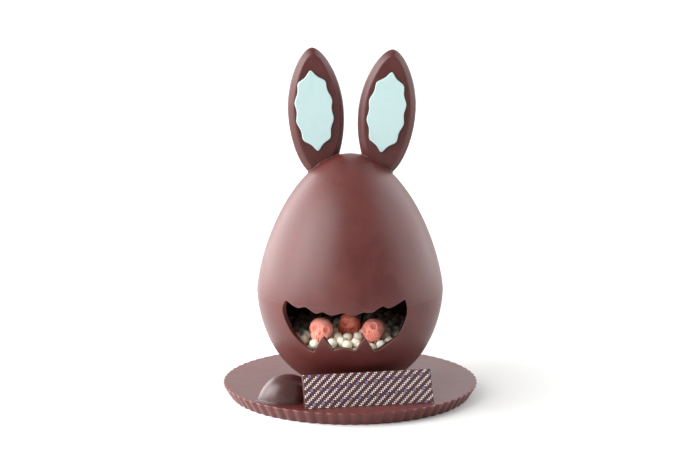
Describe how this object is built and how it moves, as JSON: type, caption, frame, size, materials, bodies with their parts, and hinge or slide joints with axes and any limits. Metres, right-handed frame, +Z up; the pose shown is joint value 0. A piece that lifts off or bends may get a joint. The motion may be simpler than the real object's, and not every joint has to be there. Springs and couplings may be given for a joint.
{
  "type": "chocolate egg with rabbit ears on a fluted chocolate disc",
  "caption": "Hollow chocolate egg with long ears and a jagged mouth showing sugar pearls and skulls, on a fluted chocolate disc with a patterned bar and half egg.",
  "frame": {"origin": "centre of the fluted disc's underside", "axes": "+Z up through the egg's axis, the mouth and the ears' inlays face -Y, +X to the right of someone facing the mouth"},
  "size_m": [0.15, 0.1498, 0.2059],
  "materials": {
    "dark_chocolate": "satin, faintly mottled, dark red-brown",
    "printed_chocolate": "satin brown ground with a small white and pale blue geometric print",
    "mint_chocolate": "matt pale blue-green",
    "coral_sugar": "matt coral, with a fine sugar grain",
    "sugar_pearl": "soft gloss ivory"
  },
  "bodies": {
    "root": {"fluted_disc": "dark_chocolate", "egg_shell": "dark_chocolate", "half_egg": "dark_chocolate", "printed_bar": "printed_chocolate", "ear_left": "dark_chocolate", "ear_right": "dark_chocolate", "mint_inlay_left": "mint_chocolate", "mint_inlay_right": "mint_chocolate", "skull_left": "coral_sugar", "skull_middle": "coral_sugar", "skull_right": "coral_sugar", "pearl_heap": "sugar_pearl"}
  },
  "joints": []
}
